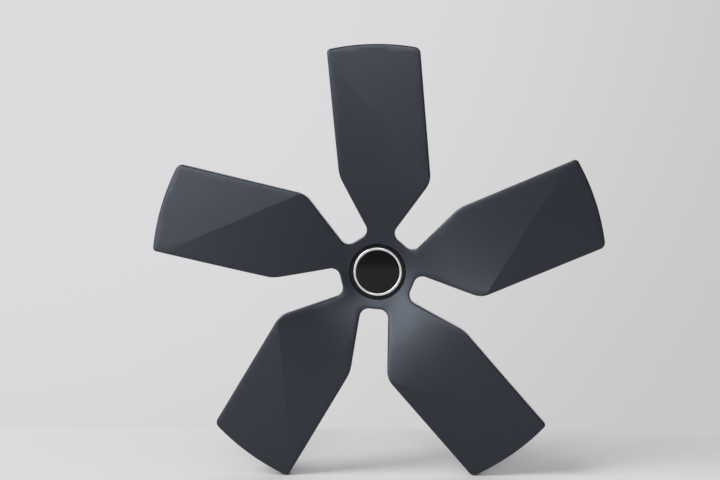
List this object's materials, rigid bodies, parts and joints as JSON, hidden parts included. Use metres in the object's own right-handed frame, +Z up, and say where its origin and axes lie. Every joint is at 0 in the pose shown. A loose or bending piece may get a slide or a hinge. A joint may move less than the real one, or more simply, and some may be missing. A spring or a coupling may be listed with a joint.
{
  "type": "wheel cover",
  "caption": "Dark grey bladed wheel cover: faceted swept blades on a dished hub with a round black centre badge and bright ring, ribbed behind, held in the wheel by a collar and spring clips.",
  "frame": {"origin": "on the wheel's axis, in the plane of the hub's rear seat, where the centring collar starts", "axes": "+Y along the wheel's axis into the wheel, the show face looks along -Y, +Z up through the tip of one blade, +X to the right seen from the front"},
  "size_m": [0.4562, 0.041, 0.4385],
  "materials": {
    "cover": "satin anthracite grey",
    "badge": "gloss black",
    "ring": "bright plated",
    "clip": "phosphated spring steel"
  },
  "bodies": {
    "root": {"star_cover": "cover", "badge_disc": "badge", "badge_ring": "ring", "spring_clips": "clip"}
  },
  "joints": []
}
